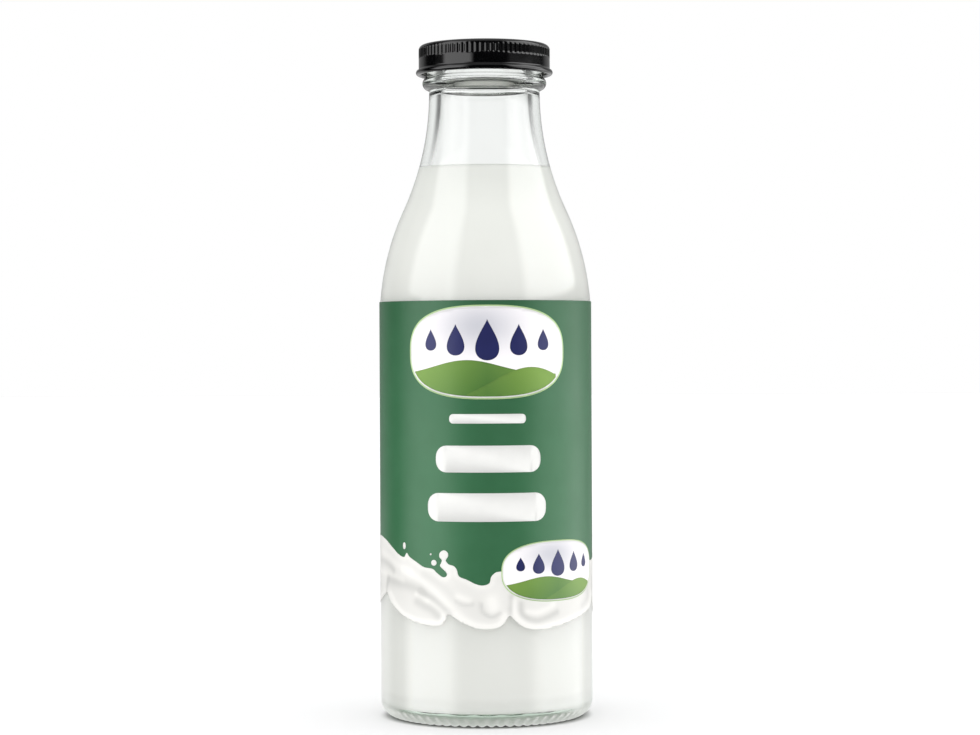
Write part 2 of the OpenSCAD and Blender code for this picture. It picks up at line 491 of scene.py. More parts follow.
def milk_outline():
    wall = ogee(CAVITY_R + BITE, SHOULDER_Z, BORE_R + BITE, NECK_Z, BULGE_SHARE, 40)
    wall = [point for point in wall if point[1] < MILK_Z]
    edge_r = wall[-1][0] - (MILK_Z + CLIMB - wall[-1][1]) * CLIMB_LEAN
    low = dome(CAVITY_R - FLOOR_CORNER_R, FLOOR_Z - BITE, FLOOR_CROWN, 8)
    corner = arc(CAVITY_R - FLOOR_CORNER_R, FLOOR_Z + FLOOR_CORNER_R, FLOOR_CORNER_R + BITE, -90, 0, 10)
    meniscus = [(edge_r - CLIMB_WIDTH * i / CLIMB_STEPS, MILK_Z + CLIMB * (1 - i / CLIMB_STEPS) ** 2)
                for i in range(CLIMB_STEPS + 1)]
    return low + corner[1:] + wall + meniscus + [(0.0, MILK_Z)]


milk = turned("milk_fill", milk_outline(), 128, MILK)
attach(milk, "root")
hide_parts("milk")

# %% [markdown]
# ## The cap
# A lug cap is drawn from tinplate and lacquered black. Its outline is turned like the glass; then a
# tree presses the upright grip grooves into the skirt by pulling the surface in, so that they fade
# out at both ends as pressed metal does, where cut slots would be square.

# %% Cap material
def cap_material():
    material, tree, shader = start_material("black_lacquer")
    black = blend_colours(tree, mottle(tree, scale=160.0), (0.0010, 0.0010, 0.0012),
                          (0.0020, 0.0020, 0.0023))
    tree.links.new(black, shader.inputs["Base Color"])
    tree.links.new(mottle(tree, scale=90.0, low=0.05, high=0.11), shader.inputs["Roughness"])
    shader.inputs["IOR"].default_value = 1.5
    roughen(tree, shader, mottle(tree, scale=420.0), strength=0.08, distance=0.05 * MM)
    return material


LACQUER = cap_material()
print("cap material ready")

# %% The cap's outline
SKIRT_R = 24.4 * MM
SHEET = 0.4 * MM
CURL_R = 1.05 * MM
CAP_ROUND = 1.8 * MM
PANEL_R = 15.5 * MM
PANEL_DROP = 0.6 * MM
PANEL_FLAT_R = PANEL_R - 2 * PANEL_DROP
PANEL_Z = CAP_TOP - PANEL_DROP
# The rise from the sunk panel to the rim, as shares of the drop: out, and up
PANEL_RISE = ((0.1, 0.1), (0.35, 0.35), (0.65, 0.75), (1.0, 1.0))
SKIRT_STEPS = 36
SKIRT_FOOT = 1.6 * MM
FLARE_R = 0.55 * MM
FLARE_UP = 1.5 * MM
INSIDE_FOOT = 1.2 * MM


def cap_outline():
    curl_z = CAP_LOW + CURL_R
    inner_r, inner_round = SKIRT_R - SHEET, CAP_ROUND - SHEET
    corner_r, corner_z = SKIRT_R - CAP_ROUND, CAP_TOP - CAP_ROUND
    top = [(0.0, PANEL_Z), (PANEL_FLAT_R, PANEL_Z)]
    top += [(PANEL_R - PANEL_DROP * (1 - out), CAP_TOP - PANEL_DROP * (1 - up)) for out, up in PANEL_RISE]
    top += arc(corner_r, corner_z, CAP_ROUND, 90, 0, 10)
    skirt = [(SKIRT_R, corner_z - i * (corner_z - curl_z - SKIRT_FOOT) / SKIRT_STEPS)
             for i in range(1, SKIRT_STEPS + 1)]
    flare = arc(SKIRT_R + FLARE_R, curl_z + FLARE_UP, FLARE_R, 180, 240, 4)
    curl = arc(SKIRT_R, curl_z, CURL_R, 62, -215, 22)
    inside = [(inner_r, curl_z + INSIDE_FOOT)] + arc(corner_r, corner_z, inner_round, 0, 90, 6)
    panel = [(PANEL_R, CAP_TOP - SHEET), (PANEL_FLAT_R, PANEL_Z - SHEET), (0.0, PANEL_Z - SHEET)]
    return top + skirt + flare + curl + inside + panel


print("the cap's outline has", len(cap_outline()), "points")

# %% The tree that presses the grips
GRIP_NARROWNESS = 1.6
HARDLY = 0.0001


def build_grip_tree():
    tree, group_in, group_out = shape_tree("grip_grooves", [
        ("Grooves", "Float", 80.0), ("Depth", "Float", 0.3 * MM), ("Top", "Float", 0.0),
        ("Bottom", "Float", 0.0), ("Fade", "Float", 0.5 * MM), ("Outside Of", "Float", 0.0),
        ("Material", "Material", None)])
    x, y, z, radius, groove = round_grooves(tree, group_in.outputs["Grooves"], GRIP_NARROWNESS)
    fade, top, bottom = (group_in.outputs[label] for label in ("Fade", "Top", "Bottom"))
    from_below = smooth_ramp(tree, z, bottom, maths(tree, "ADD", bottom, fade))
    from_above = smooth_ramp(tree, maths(tree, "MULTIPLY", z, -1.0), maths(tree, "MULTIPLY", top, -1.0),
                             maths(tree, "SUBTRACT", fade, top))
    outer = maths(tree, "GREATER_THAN", radius, group_in.outputs["Outside Of"])
    mask = maths(tree, "MULTIPLY", maths(tree, "MULTIPLY", from_below, from_above), outer)
    shrink = maths(tree, "MULTIPLY", maths(tree, "MULTIPLY", mask, groove), group_in.outputs["Depth"])
    inward = maths(tree, "DIVIDE", maths(tree, "SUBTRACT", radius, shrink), radius)
    new_x, new_y = maths(tree, "MULTIPLY", x, inward), maths(tree, "MULTIPLY", y, inward)
    pulled = node(tree, "ShaderNodeCombineXYZ", [(0, new_x), (1, new_y), (2, z)]).outputs[0]
    at_grip = maths(tree, "GREATER_THAN", mask, HARDLY)
    mesh = group_in.outputs["Mesh"]
    pressed = node(tree, "GeometryNodeSetPosition", [(0, mesh), (1, at_grip), (2, pulled)])
    ends(tree, pressed.outputs[0], group_in, group_out)
    return tree


GRIP_GROOVES = build_grip_tree()
print("grip tree has", len(GRIP_GROOVES.nodes), "nodes")

# %% Turn the cap and press its grips
GRIP_COUNT = 80
GRIP_TOP = CAP_TOP - 1.3 * MM
GRIP_BOTTOM = CAP_TOP - 5.2 * MM
GRIP_DEPTH = 0.3 * MM
cap = turned("lug_cap", cap_outline(), GRIP_COUNT * STEPS_A_GROOVE, LACQUER)
grow(cap, GRIP_GROOVES, Grooves=float(GRIP_COUNT), Depth=GRIP_DEPTH, Top=GRIP_TOP, Bottom=GRIP_BOTTOM,
     Outside_Of=SKIRT_R - SHEET / 2, Material=LACQUER)
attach(cap, "root")
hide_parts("cap")
print("cap:", len(cap.data.polygons), "faces")

# %% [markdown]
# ## The cap's lining
# Inside, such a cap is coated pale. The coat is hardly seen itself, but the glass of the bead looks
# up into it, and without it the bead would turn black. Two turned pieces stand for it: a disc under
# the panel, and a tube inside the skirt.

# %% Line the cap
LINING_R = BORE_R - 0.1 * MM
LINING_GAP = 0.05 * MM
LINING_THICK = 0.35 * MM
LINING_EDGE = 0.3 * MM
COAT_THICK = 0.15 * MM
COAT_FOOT = 2.4 * MM


def lining_outline():
    """A shallow disc inside the lip, pressed against the underside of the panel."""
    ring_z = CAP_TOP - SHEET - LINING_GAP
    disc_z = ring_z - PANEL_DROP
    low = disc_z - LINING_THICK
    return [(0.0, disc_z), (PANEL_FLAT_R, disc_z), (PANEL_R, ring_z), (LINING_R, ring_z),
            (LINING_R, low + LINING_EDGE), (LINING_R - LINING_EDGE, low), (0.0, low)]


def lining_material():
    material, tree, shader = start_material("pale_lining")
    cream = blend_colours(tree, mottle(tree, scale=140.0), (0.78, 0.77, 0.74), (0.82, 0.81, 0.78))
    tree.links.new(cream, shader.inputs["Base Color"])
    tree.links.new(mottle(tree, scale=60.0, low=0.42, high=0.52), shader.inputs["Roughness"])
    return material


def skirt_coat_outline():
    """A thin tube inside the skirt; its outline closes on itself."""
    outer = SKIRT_R - SHEET - LINING_GAP
    inner, low, high = outer - COAT_THICK, CAP_LOW + COAT_FOOT, CAP_TOP - CAP_ROUND
    return [(outer, high), (outer, low), (inner, low), (inner, high), (outer, high)]


LINING = lining_material()
for name, outline in (("cap_lining", lining_outline()), ("skirt_coat", skirt_coat_outline())):
    coat = turned(name, outline, 128, LINING)
    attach(coat, "root")
    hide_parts("cap")
print("the cap is lined inside the lip to a radius of", round(LINING_R, 4), "m")

# %% [markdown]
# ## The printed film
# The label is a thin film wrapped once round the body. It is drawn flat, as a printer would, with
# one number along the film and one up it, and a Geometry Nodes tree wraps it: it gives each flat
# shape its thickness and bends it round the glass. So every shape is ordinary flat drawing, and the
# print still follows the cylinder exactly.

# %% The wrapping tree
def build_wrapping_tree():
    tree, group_in, group_out = shape_tree("wrapped_film", [
        ("Radius", "Float", 40 * MM), ("Film", "Float", 0.1 * MM), ("Material", "Material", None)])
    flat = group_in.outputs["Mesh"]
    lift = node(tree, "ShaderNodeCombineXYZ", [(2, 1.0)]).outputs[0]
    raised = node(tree, "GeometryNodeExtrudeMesh", [(0, flat), (2, lift), (3, group_in.outputs["Film"]),
                                                    (4, False)])
    relief = node(tree, "GeometryNodeInputNamedAttribute", [(0, "relief")], data_type="FLOAT").outputs[0]
    swell = node(tree, "ShaderNodeCombineXYZ", [(2, relief)]).outputs[0]
    swollen = node(tree, "GeometryNodeSetPosition", [(0, raised.outputs["Mesh"]),
                                                     (1, raised.outputs["Top"]), (3, swell)]).outputs[0]
    under = node(tree, "GeometryNodeFlipFaces", [(0, flat)]).outputs[0]
    joined = node(tree, "GeometryNodeJoinGeometry")
    tree.links.new(swollen, joined.inputs[0])
    tree.links.new(under, joined.inputs[0])
    closed = weld(tree, joined.outputs[0])
    place = node(tree, "GeometryNodeInputPosition").outputs[0]
    along, up, out = node(tree, "ShaderNodeSeparateXYZ", [(0, place)]).outputs
    turn = maths(tree, "DIVIDE", along, group_in.outputs["Radius"])
    radius = maths(tree, "ADD", group_in.outputs["Radius"], out)
    x = maths(tree, "MULTIPLY", radius, maths(tree, "SINE", turn))
    y = maths(tree, "MULTIPLY", radius, maths(tree, "MULTIPLY", maths(tree, "COSINE", turn), -1.0))
    bent = node(tree, "ShaderNodeCombineXYZ", [(0, x), (1, y), (2, up)]).outputs[0]
    wrapped = node(tree, "GeometryNodeSetPosition", [(0, closed), (2, bent)]).outputs[0]
    ends(tree, wrapped, group_in, group_out, crisp=raised.outputs["Side"])
    return tree


WRAPPING = build_wrapping_tree()
print("wrapping tree has", len(WRAPPING.nodes), "nodes")

# %% [markdown]
# A flat shape becomes a mesh in three moves: one face from its outline, triangles, and cuts at even
# steps along the film, so that there are points enough to bend. The splash is cut both ways, because
# it also carries relief. All drawing below is in millimetres of film: along from the front's middle,
# and up from the ground. So are the steps, and the thickness of each layer.

# %% From flat shapes to wrapped pieces
FILM_R = BODY_R + 0.005 * MM
HALF_ROUND = math.pi * FILM_R / MM
BEND_STEP = 1.2
PRINT_STEP = 1.4
RELIEF_STEP = 0.8


def cut_lines(low, high, step):
    count = int((high - low) / step)
    return [low + (high - low) * (i + 0.5) / (count + 1) for i in range(count + 1)]


def flat_mesh(name, shapes, layer, along_step, up_step=None):
    """One flat mesh of closed outlines, at a layer's height over the glass."""
    drawing = bmesh.new()
    for outline in shapes:
        drawing.faces.new([drawing.verts.new((u * MM, v * MM, layer * MM)) for u, v in outline])
    for face in drawing.faces:
        face.normal_update()
        if face.normal.z < 0:
            face.normal_flip()
    bmesh.ops.triangulate(drawing, faces=drawing.faces[:])
    corners = [vert.co for vert in drawing.verts]
    for axis, step in ((0, along_step), (1, up_step)):
        if step is None:
            continue
        low, high = min(c[axis] for c in corners), max(c[axis] for c in corners)
        normal = Vector((1, 0, 0)) if axis == 0 else Vector((0, 1, 0))
        for line in cut_lines(low, high, step * MM):
            bmesh.ops.bisect_plane(drawing, geom=drawing.verts[:] + drawing.edges[:] + drawing.faces[:],
                                   plane_co=normal * line, plane_no=normal, dist=1e-7)
    bmesh.ops.triangulate(drawing, faces=drawing.faces[:])
    piece = new_piece(name, [])
    drawing.to_mesh(piece.data)
    drawing.free()
    return piece


def wrap(piece, film, material):
    """Bends a flat piece round the bottle; it stands for part of the label."""
    grow(piece, WRAPPING, Radius=FILM_R, Film=film * MM, Material=material)
    piece.visible_shadow = False
    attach(piece, "root")
    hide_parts("label")
    print(piece.name, len(piece.data.polygons), "faces")
    return piece


print("half way round the film is", round(HALF_ROUND, 2), "mm")

# %% [markdown]
# ## Print inks
# Printed film has one satin skin over all its inks, so the inks share a builder: a colour that the
# mottle barely shifts, a satin roughness with the print's fine grain, and a trace of waviness where
# the film isn't quite tight. The splash mixes from hollow to crest by its own painted `shade`, and
# its relief shapes its shine. All other print is flat, and takes the round wall's own normal.

# %% The round wall's own normal
def build_round_wall():
    """Flat print is so thin that its edges would bend its shading; it takes the wall's normal."""
    tree = bpy.data.node_groups.new("round_wall", "ShaderNodeTree")
    tree.interface.new_socket("Normal", in_out="OUTPUT", socket_type="NodeSocketVector")
    place = tree.nodes.new("ShaderNodeTexCoord").outputs["Object"]
    level = node(tree, "ShaderNodeVectorMath", [(0, place), (1, (1.0, 1.0, 0.0))], operation="MULTIPLY")
    unit = node(tree, "ShaderNodeVectorMath", [(0, level.outputs[0])], operation="NORMALIZE")
    outward = node(tree, "ShaderNodeVectorTransform", [(0, unit.outputs[0])], vector_type="NORMAL",
                   convert_from="OBJECT", convert_to="WORLD")
    tree.links.new(outward.outputs[0], tree.nodes.new("NodeGroupOutput").inputs[0])
    return tree


ROUND_WALL = build_round_wall()
print("round wall group has", len(ROUND_WALL.nodes), "nodes")

# %% Inks
def ink(name, low, high, shaded=False, flat=True):
    """A satin ink between two close colours; a shaded one is mixed by the piece's shade instead."""
    material, tree, shader = start_material(name)
    if shaded:
        factor = node(tree, "ShaderNodeAttribute", attribute_name="shade").outputs["Fac"]
    else:
        factor = mottle(tree, scale=140.0)
    tree.links.new(blend_colours(tree, factor, low, high), shader.inputs["Base Color"])
    tree.links.new(mottle(tree, scale=60.0, low=0.33, high=0.40), shader.inputs["Roughness"])
    shader.inputs["IOR"].default_value = 1.42
    over = None
    if flat:
        over = node(tree, "ShaderNodeGroup", node_tree=ROUND_WALL).outputs["Normal"]
    slack = mottle(tree, scale=26.0, detail=2.0)
    roughen(tree, shader, slack, strength=0.06, distance=0.3 * MM, over=over)
    return material


GREEN_INK = ink("green_ink", (0.026, 0.124, 0.050), (0.029, 0.132, 0.055))
WHITE_INK = ink("white_ink", (0.74, 0.74, 0.72), (0.77, 0.77, 0.75))
SPLASH_INK = ink("splash_ink", (0.47, 0.47, 0.45), (0.80, 0.79, 0.76), shaded=True, flat=False)
SILVER_INK = ink("silver_ink", (0.42, 0.43, 0.48), (0.91, 0.88, 0.89), shaded=True)
LIME_INK = ink("lime_ink", (0.055, 0.155, 0.026), (0.17, 0.30, 0.05), shaded=True)
PALE_LIME_INK = ink("pale_lime_ink", (0.42, 0.60, 0.28), (0.46, 0.63, 0.31))
BLUE_INK = ink("blue_ink", (0.010, 0.013, 0.085), (0.012, 0.016, 0.10))
print("inks:", sorted(m.name for m in bpy.data.materials if m.name.endswith("_ink")))

# %% [markdown]
# ## The green sleeve
# The green is one band of film. Its lower edge stays out of sight under the splash, so it only has to
# keep inside it. The film's two ends meet at the back under a narrow overlap, as on a real wrap.

# %% The sleeve
SLEEVE_TOP = LABEL_TOP / MM
# The lower edge: each point is a share of the way half round, and a height
SLEEVE_LOW = [(-1.0, 53.0), (-0.5, 52.5), (-0.37, 53.4), (-0.3, 52.0), (-0.15, 50.5), (-0.06, 49.2),
              (0.06, 49.6), (0.12, 49.6), (0.28, 52.5), (0.5, 52.5), (1.0, 53.0)]
SLEEVE_FILM = 0.09
LAP_START, LAP_END = HALF_ROUND - 7.0, HALF_ROUND + 0.5
LAP_LOW = 54.0
LAP_LAYER, LAP_FILM = 0.08, 0.07

sleeve_outline = [(HALF_ROUND, SLEEVE_TOP), (-HALF_ROUND, SLEEVE_TOP)]
sleeve_outline += [(share * HALF_ROUND, v) for share, v in SLEEVE_LOW]
sleeve = flat_mesh("sleeve", [sleeve_outline], 0.0, BEND_STEP)
wrap(sleeve, SLEEVE_FILM, GREEN_INK)
lap_outline = [(LAP_START, LAP_LOW), (LAP_END, LAP_LOW), (LAP_END, SLEEVE_TOP), (LAP_START, SLEEVE_TOP)]
lap = flat_mesh("sleeve_overlap", [lap_outline], LAP_LAYER, BEND_STEP)
wrap(lap, LAP_FILM, GREEN_INK)

# %% [markdown]
# ## The splash
# A printed splash of milk runs all round the foot of the label. Its upper crest and its lower lobes
# are two smooth lines through given points. Folds are strokes: a ridge where milk piles up, a
# hollow where it dips. Each stroke lifts or sinks the film by hundredths of a millimetre and shades
# the ink, so the print catches the light the way the painted milk says it should.

# %% Smooth lines through points
def smooth_line(points, steps=5):
    """A Catmull-Rom line that passes through every point."""
    line = []
    for i in range(len(points) - 1):
        p0, p1 = points[max(i - 1, 0)], points[i]
        p2, p3 = points[i + 1], points[min(i + 2, len(points) - 1)]
        for k in range(steps):
            t = k / steps
            line.append(tuple(0.5 * (2 * b + (c - a) * t + (2 * a - 5 * b + 4 * c - d) * t * t
                                     + (3 * b - a - 3 * c + d) * t ** 3)
                              for a, b, c, d in zip(p0, p1, p2, p3)))
    return line + [points[-1]]


CREST = [
    (-123.48, 57), (-115, 55), (-106, 56.5), (-98, 60), (-92, 63.5), (-86, 61.5), (-79, 60.5), (-70, 63),
    (-62, 66.5), (-55, 67.2), (-49.2, 66.6), (-45.2, 65.5), (-40.3, 63.2), (-36.9, 61.4), (-33.6, 60.6),
    (-32.1, 62.2), (-30.7, 60.9), (-27.1, 59.1), (-23.8, 57.5), (-20.1, 57.0), (-18.4, 55.7),
    (-16.1, 54.2), (-14.6, 54.5), (-14.5, 55.8), (-16.9, 58.0), (-16.6, 59.2), (-16.3, 60.3),
    (-17.2, 61.3), (-17.2, 62.6), (-16.2, 63.6), (-15.0, 63.7), (-14.0, 62.9), (-13.9, 61.7),
    (-14.6, 60.6), (-14.7, 59.9), (-13.6, 58.8), (-11.7, 58.2), (-10.6, 56.9), (-9.8, 54.6),
    (-6.9, 53.4), (-3.8, 51.9), (-1.2, 51.4), (1.1, 52.2), (1.8, 54.5), (3.4, 56.0), (4.9, 56.3),
    (9, 56.8), (14, 58.2), (22, 60), (32, 60.5), (42, 59), (51.6, 57.9), (58, 58.5), (66, 61.5),
    (71, 60), (77, 57), (86, 54.5), (94, 55.5), (99, 59.5), (104, 58), (112, 58.5), (118, 58.2),
    (123.48, 57)]
LOBES = [
    (123.48, 42), (117, 38.5), (108, 37), (99, 38), (93, 41.5), (90, 45.5), (87, 42.5), (81, 38.5),
    (73, 36.5), (65, 37), (59, 39.5), (56.5, 42), (55, 44.5), (54.0, 43), (52.5, 41.6), (48.6, 40),
    (38.5, 37.8), (26.5, 35.6), (19, 35.1), (14.2, 36.0), (11.2, 37.9), (9.4, 39.6), (8.4, 40.4),
    (7.5, 39.6), (6.4, 38.0), (4.4, 36.4), (0.3, 35.7), (-3.8, 36.1), (-8.6, 38.0), (-11.6, 39.8),
    (-13.4, 40.8), (-14.4, 40.4), (-14.9, 38.9), (-16.8, 37.0), (-20.1, 36.4), (-26.4, 37.1),
    (-33.8, 39.2), (-40.3, 42.3), (-43.4, 44.4), (-45.2, 46.2), (-46.5, 46.8), (-48.4, 46.0), (-53, 44),
    (-60, 42), (-68, 41.5), (-76, 44), (-80, 48), (-83, 43), (-90, 38.5), (-99, 37), (-108, 38.5),
    (-113, 43.5), (-114.5, 47), (-117, 43.5), (-120, 41.5), (-123.48, 42)]
crest_line, lobe_line = smooth_line(CREST), smooth_line(LOBES)
print("crest", len(crest_line), "points, lobes", len(lobe_line), "points")

# %% Folds of the splash
# Each stroke: its points, its width, and its strength, which is below 0 in a hollow
FOLDS = [
    ([(-46.5, 47.6), (-45.6, 50.2), (-44.6, 51.8)], 1.1, -0.8),
    ([(-25.0, 48.4), (-19.8, 46.2), (-16.0, 43.4), (-13.6, 41.4)], 1.5, -0.85),
    ([(8.5, 41.2), (8.9, 44.5), (9.0, 47.5)], 1.0, -0.75),
    ([(55.2, 45.0), (55.1, 48.5), (54.6, 51.5)], 1.0, -0.8),
    ([(-42.5, 47.0), (-36.1, 41.2), (-29.6, 38.9), (-22.3, 37.9), (-17.4, 38.2), (-15.9, 39.9),
      (-16.8, 42.4), (-21.3, 45.2)], 1.0, 0.55),
    ([(-27.2, 47.6), (-24.8, 46.8), (-22.6, 45.6)], 1.0, 0.7),
    ([(-27, 44.8), (-24.0, 43.6), (-20.4, 42.2), (-17.9, 40.1)], 1.7, -0.75),
    ([(-44.5, 51.8), (-32.7, 50.6), (-26.6, 49.3), (-24.9, 48.6)], 1.9, -0.7),
    ([(-34, 55.9), (-31.9, 55.4), (-25.5, 53.0), (-20.4, 49.8), (-15.8, 45.7), (-11.4, 41.9),
      (-7.1, 38.8), (-3.0, 37.2), (1.7, 36.7), (5.3, 37.9), (6.3, 40.6)], 1.5, 0.5),
    ([(-24, 55.0), (-17, 51.5), (-12, 47.5)], 1.5, -0.25),
    ([(-10.3, 47.4), (-8.2, 46.7), (-6.3, 46.0)], 1.3, 0.5),
    ([(-10.9, 45.6), (-8.2, 44.4), (-5.0, 44.6)], 0.8, -0.55),
    ([(1.9, 45.6), (2.3, 44.2), (2.4, 43.4)], 2.3, 0.6),
    ([(-1.9, 44.6), (-1.2, 41.8), (1.9, 40.2), (4.9, 41.4)], 0.8, -0.7),
    ([(9.9, 45.6), (10.2, 42.2), (12.0, 38.9), (15.5, 36.7), (20.7, 35.9), (28.5, 36.9), (38.4, 38.4),
      (45.3, 40.0), (50.4, 42.6), (52.6, 46.2)], 1.2, 0.6),
    ([(12.6, 44.5), (12.9, 41.3), (15.5, 39.2), (19.2, 38.4), (23.6, 39.4), (27.5, 40.8)], 1.2, -0.75),
    ([(15.0, 41.6), (18.6, 41.2), (22.6, 42.2), (25.8, 43.6)], 1.2, 0.5),
    ([(47.6, 48.0), (47.6, 44.6), (42.5, 42.0)], 1.3, -0.35),
    ([(-54, 58.2), (-47, 57.8), (-42.5, 56.6), (-40.2, 55.3)], 1.3, -0.7),
    ([(-56, 54.2), (-42.2, 53.6), (-34.3, 52.2)], 1.1, 0.4),
    ([(-52, 61.5), (-44, 60.0), (-37, 57.5), (-30, 55.6)], 1.4, 0.35),
    ([(60, 46), (65, 41.5), (73, 40.5), (81, 43), (86, 47)], 1.5, -0.6),
    ([(62, 54), (70, 51.5), (79, 50.5), (88, 50)], 1.6, 0.5),
    ([(95, 46), (100, 41.8), (108, 41), (116, 43.5)], 1.5, -0.6),
    ([(92, 52), (103, 52.5), (114, 51)], 1.6, 0.45),
    ([(-56, 49), (-62, 46.4), (-69, 46.2), (-75, 49)], 1.4, -0.6),
    ([(-58, 58), (-68, 55.5), (-80, 54), (-90, 55)], 1.7, 0.45),
    ([(-86, 47), (-92, 42.5), (-100, 41.2), (-107, 43.5)], 1.5, -0.6),
    ([(-95, 52.5), (-104, 50), (-114, 50.5)], 1.6, 0.45)]
print(len(FOLDS), "folds,", sum(1 for fold in FOLDS if fold[2] < 0), "of them hollows")

# %% How near a point is to a stroke
def spaced(line, gap=0.35):
    """Points at an even gap along a line."""
    points = []
    for (u0, v0), (u1, v1) in zip(line, line[1:]):
        count = max(1, int(math.hypot(u1 - u0, v1 - v0) / gap))
        points += [(u0 + (u1 - u0) * k / count, v0 + (v1 - v0) * k / count) for k in range(count)]
    return points + [line[-1]]


def nearness(line):
    tree = kdtree.KDTree(len(line))
    for i, (u, v) in enumerate(line):
        tree.insert((u, v, 0.0), i)
    tree.balance()
    return tree


fold_trees = [(nearness(spaced(smooth_line(points))), width, strength)
              for points, width, strength in FOLDS]
print(len(fold_trees), "strokes can be searched")

# %% Relief and shade of the splash
RELIEF = 0.11
SHADE_MIDDLE, SHADE_REACH = 0.68, 0.55
RIM_IN, RIM_WIDTH, RIM_LIFT = 0.9, 0.8, 0.28
CLOUD_SCALE, CLOUD_LIFT = 0.11, 0.16
SPLASH_FILM = 0.12


def paint_folds(piece, trees, edges):
    """Sets each point's relief and shade from the strokes and from the nearness of the outline."""
    relief = piece.data.attributes.new("relief", "FLOAT", "POINT")
    shade = piece.data.attributes.new("shade", "FLOAT", "POINT")
    for i, vert in enumerate(piece.data.vertices):
        flat = (vert.co.x / MM, vert.co.y / MM, 0.0)
        fold = 0.0
        for tree, width, strength in trees:
            fold += strength * math.exp(-(tree.find(flat)[2] / width) ** 2)
        rim = max(math.exp(-((tree.find(flat)[2] - RIM_IN) / RIM_WIDTH) ** 2) for tree in edges)
        cloud = noise.noise(Vector(flat) * CLOUD_SCALE)
        level = max(-1.0, min(1.0, fold + RIM_LIFT * rim + CLOUD_LIFT * cloud))
        shade.data[i].value = max(0.0, min(1.0, SHADE_MIDDLE + SHADE_REACH * level))
        relief.data[i].value = (0.5 + 0.5 * level) * RELIEF * MM


def blob(u, v, half_u, half_v, steps=20):
    turns = [2 * math.pi * i / steps for i in range(steps)]
    return [(u + half_u * math.cos(t), v + half_v * math.sin(t)) for t in turns]


splash_shapes = [crest_line + lobe_line, blob(-19.5, 59.2, 1.1, 1.05), blob(-20.8, 62.2, 0.35, 0.35),
                 blob(-33.4, 64.7, 0.75, 1.25), blob(63, 66.5, 0.8, 1.1), blob(101, 63.5, 1.2, 1.1),
                 blob(-95.5, 68, 0.9, 1.3), blob(-88.0, 66.5, 0.5, 0.5)]
splash = flat_mesh("milk_splash", splash_shapes, 0.0, RELIEF_STEP, RELIEF_STEP)
paint_folds(splash, fold_trees, [nearness(spaced(lobe_line)), nearness(spaced(crest_line))])
wrap(splash, SPLASH_FILM, SPLASH_INK)

# %% [markdown]
# ## Emblems
# The front carries a wide oval plaque, and a smaller one repeats it lower down at the right. The
# design is a plain one of its own: a pale rim, a white ring, a silver field, two green hills, and a
# row of five drops. One function draws the plaque's parts at any size, so that the two agree.

# %% Parts of the plaque
SQUARENESS = 2.6
HAIR = 0.01


def rounded_oval(u, v, half_u, half_v, power=SQUARENESS, steps=96):
    """An oval with fuller corners than an ellipse, whose power would be 2."""
    points = []
    for i in range(steps):
        c, s = math.cos(2 * math.pi * i / steps), math.sin(2 * math.pi * i / steps)
        points.append((u + half_u * math.copysign(abs(c) ** (2 / power), c),
                       v + half_v * math.copysign(abs(s) ** (2 / power), s)))
    return points


def hill(u, v, half_u, half_v, line, power=SQUARENESS, steps=40):
    """The part of an oval under a line, which gives a height for each share of the half width."""
    shares = [-1 + 2 * i / steps for i in range(steps + 1)]
    lower, upper = [], []
    for share in shares:
        side = (1 - min(1.0, abs(share)) ** power) ** (1 / power)
        low, top = -side, min(line(share), side)
        if top - low > HAIR:
            lower.append((u + half_u * share, v + half_v * low))
            upper.append((u + half_u * share, v + half_v * top))
    return lower + upper[::-1]


def drop_shape(u, v, half_u, half_v, steps=40):
    """A drop with its point up; the factor 1.3 makes its widest place as wide as asked."""
    turns = [2 * math.pi * i / steps for i in range(steps)]
    return [(u + half_u * 1.3 * math.sin(t) * abs(math.sin(t / 2)) ** 1.5, v + half_v * math.cos(t))
            for t in turns]


def bar(u, v, length, height, corner, steps=6):
    points = []
    for cu, cv, start in ((1, 1, 0), (-1, 1, 90), (-1, -1, 180), (1, -1, 270)):
        for i in range(steps + 1):
            t = math.radians(start + 90 * i / steps)
            points.append((u + cu * (length / 2 - corner) + corner * math.cos(t),
                           v + cv * (height / 2 - corner) + corner * math.sin(t)))
    return points


print("a drop has", len(drop_shape(0, 0, 1, 1)), "points")

# %% The two plaques
# Each plaque: its middle along and up, and half its width and height
PLAQUES = [(0.7, 134.75, 30.5, 16.9), (28.0, 55.9, 22.6, 11.0)]
FIRST_WIDE, FIRST_TALL = PLAQUES[0][2:]
# On the first plaque: the width of its rim and of its ring, and each drop's place and size
RIM = 0.5
DROPS = [(-21.0, 0.52), (-11.4, 0.76), (0.0, 1.0), (11.4, 0.76), (21.0, 0.52)]
DROP_UP, DROP_WIDE, DROP_TALL = 4.4, 4.7, 7.4


def far_line(share):
    return -0.50 + 0.32 * math.exp(-((share + 0.25) / 0.55) ** 2)


def near_line(share):
    return -1.20 + 0.86 * math.exp(-((share - 0.55) / 0.72) ** 2)


rims, rings, fields, hills, near_hills, drops = [], [], [], [], [], []
for cu, cv, wide, tall in PLAQUES:
    du, dv = wide / FIRST_WIDE, tall / FIRST_TALL
    rims.append(rounded_oval(cu, cv, wide, tall))
    rings.append(rounded_oval(cu, cv, wide - RIM * du, tall - RIM * du))
    inner_wide, inner_tall = wide - 2 * RIM * du, tall - 2 * RIM * du
    fields.append(rounded_oval(cu, cv, inner_wide, inner_tall))
    hills.append(hill(cu, cv, inner_wide, inner_tall, far_line))
    near_hills.append(hill(cu, cv, inner_wide, inner_tall, near_line))
    for along, grown in DROPS:
        drops.append(drop_shape(cu + along * du, cv + DROP_UP * dv,
                                DROP_WIDE * grown * du, DROP_TALL * grown * dv))
print(len(PLAQUES), "plaques with", len(drops), "drops in all")

